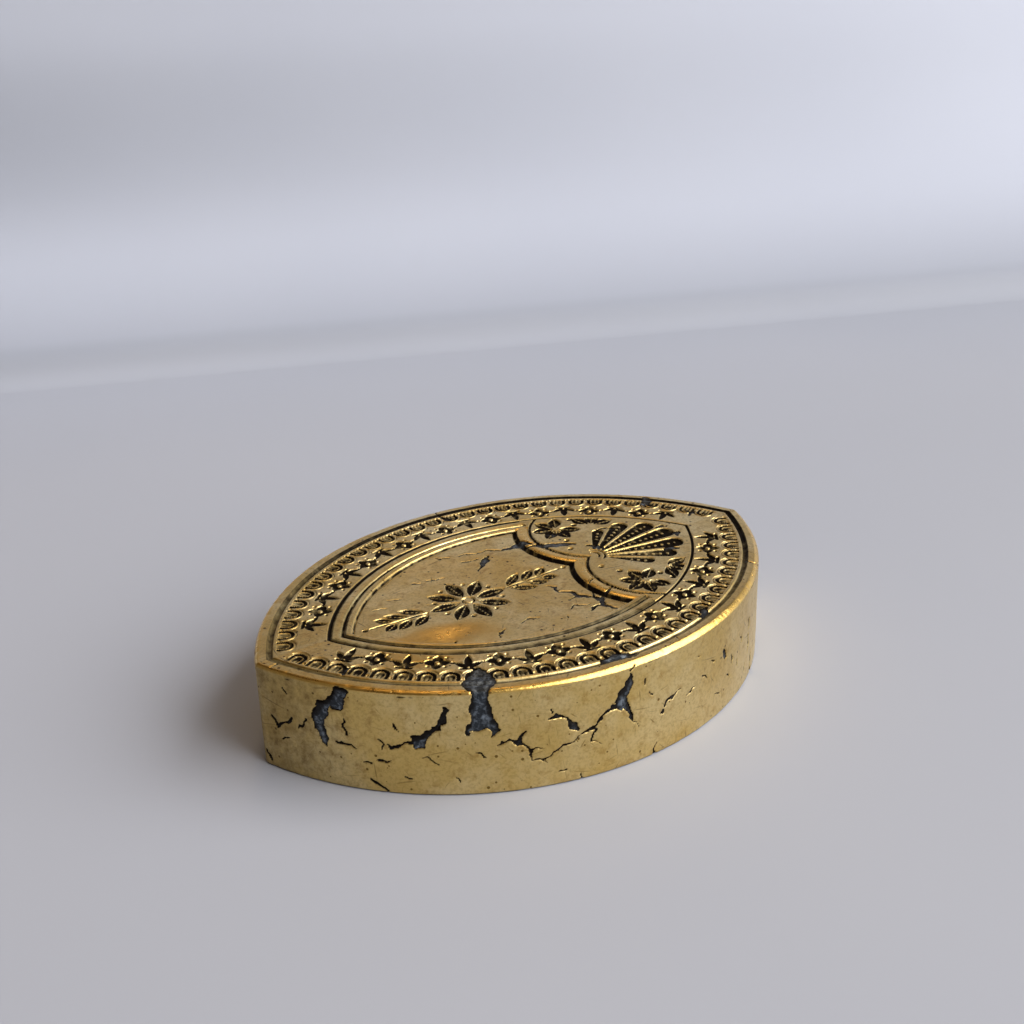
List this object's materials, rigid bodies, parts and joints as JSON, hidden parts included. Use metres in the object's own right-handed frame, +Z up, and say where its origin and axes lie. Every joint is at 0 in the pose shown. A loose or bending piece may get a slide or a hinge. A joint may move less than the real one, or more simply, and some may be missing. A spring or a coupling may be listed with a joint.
{
  "type": "pointed-oval seal matrix",
  "caption": "Pointed-oval engraved seal matrix: a thick metal block with a gilt, ornamented face that presses its design into wax or paper.",
  "frame": {"origin": "middle of the flat underside", "axes": "+X along the long axis towards the head of the design, +Y across the width, +Z up, out of the engraved face"},
  "size_m": [0.078, 0.0542, 0.0143],
  "materials": {
    "gilt_skin": "worn gilt, satin, with dark residue in the engraving",
    "dark_metal": "matt slate grey, lumpy"
  },
  "bodies": {
    "root": {"gilt_shell": "gilt_skin", "dark_core": "dark_metal"}
  },
  "joints": []
}
